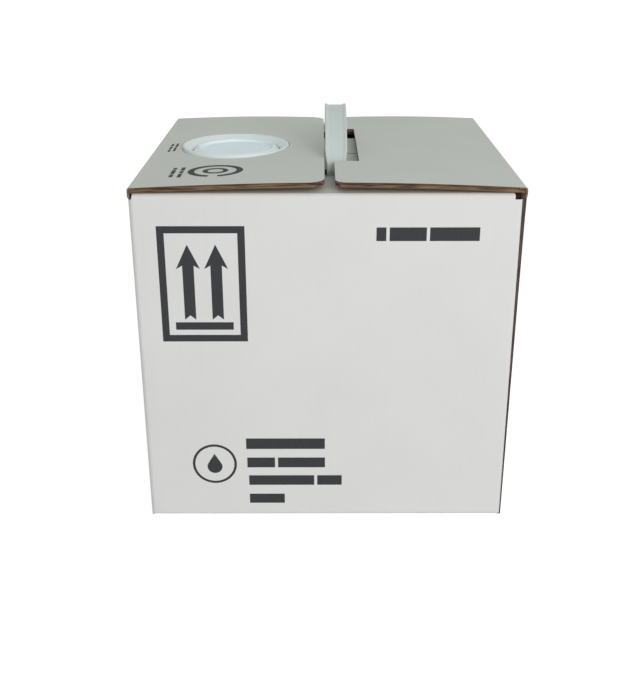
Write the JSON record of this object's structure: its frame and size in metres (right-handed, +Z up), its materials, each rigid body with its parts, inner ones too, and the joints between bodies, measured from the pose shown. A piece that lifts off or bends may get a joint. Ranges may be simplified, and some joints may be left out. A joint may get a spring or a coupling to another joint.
{
  "type": "cardboard box",
  "caption": "White corrugated carton around a plastic liquid liner, with a wide screw cap in a round hole of the top flap and a moulded strap handle between the flaps.",
  "frame": {"origin": "middle of the base, on the surface that the carton stands on", "axes": "+X to the right along the front panel, +Y from the front panel to the back, +Z up"},
  "size_m": [0.298, 0.286, 0.3208],
  "materials": {
    "white_board": "white-lined corrugated board, matt, with brown cut edges",
    "liner_plastic": "thin milky polyethylene",
    "seal_foam": "closed-cell foam wad",
    "white_plastic": "moulded polyethylene, soft sheen"
  },
  "bodies": {
    "carton": {"carton_body": "white_board", "liner": "liner_plastic", "neck_collar": "white_plastic", "strap_handle": "white_plastic"},
    "left_flap": {"left_top_flap": "white_board"},
    "right_flap": {"right_top_flap": "white_board"},
    "cap_seal": {"cap_seal_disc": "seal_foam"},
    "cap": {"screw_cap": "white_plastic"}
  },
  "joints": [
    {"name": "left_flap_fold", "type": "hinge", "parent": "carton", "child": "left_flap", "pos_m": [-0.149, 0, 0.27915], "axis": [0, -1, 0], "range_deg": [0, 180]},
    {"name": "right_flap_fold", "type": "hinge", "parent": "carton", "child": "right_flap", "pos_m": [0.149, 0, 0.27915], "axis": [0, 1, 0], "range_deg": [0, 180]},
    {"name": "cap_lift", "type": "slide", "parent": "carton", "child": "cap_seal", "axis": [0, 0, 1], "range_m": [0, 0.06]},
    {"name": "cap_turn", "type": "hinge", "parent": "cap_seal", "child": "cap", "pos_m": [-0.0785, -0.002, 0.28], "axis": [0, 0, 1], "continuous": true}
  ]
}
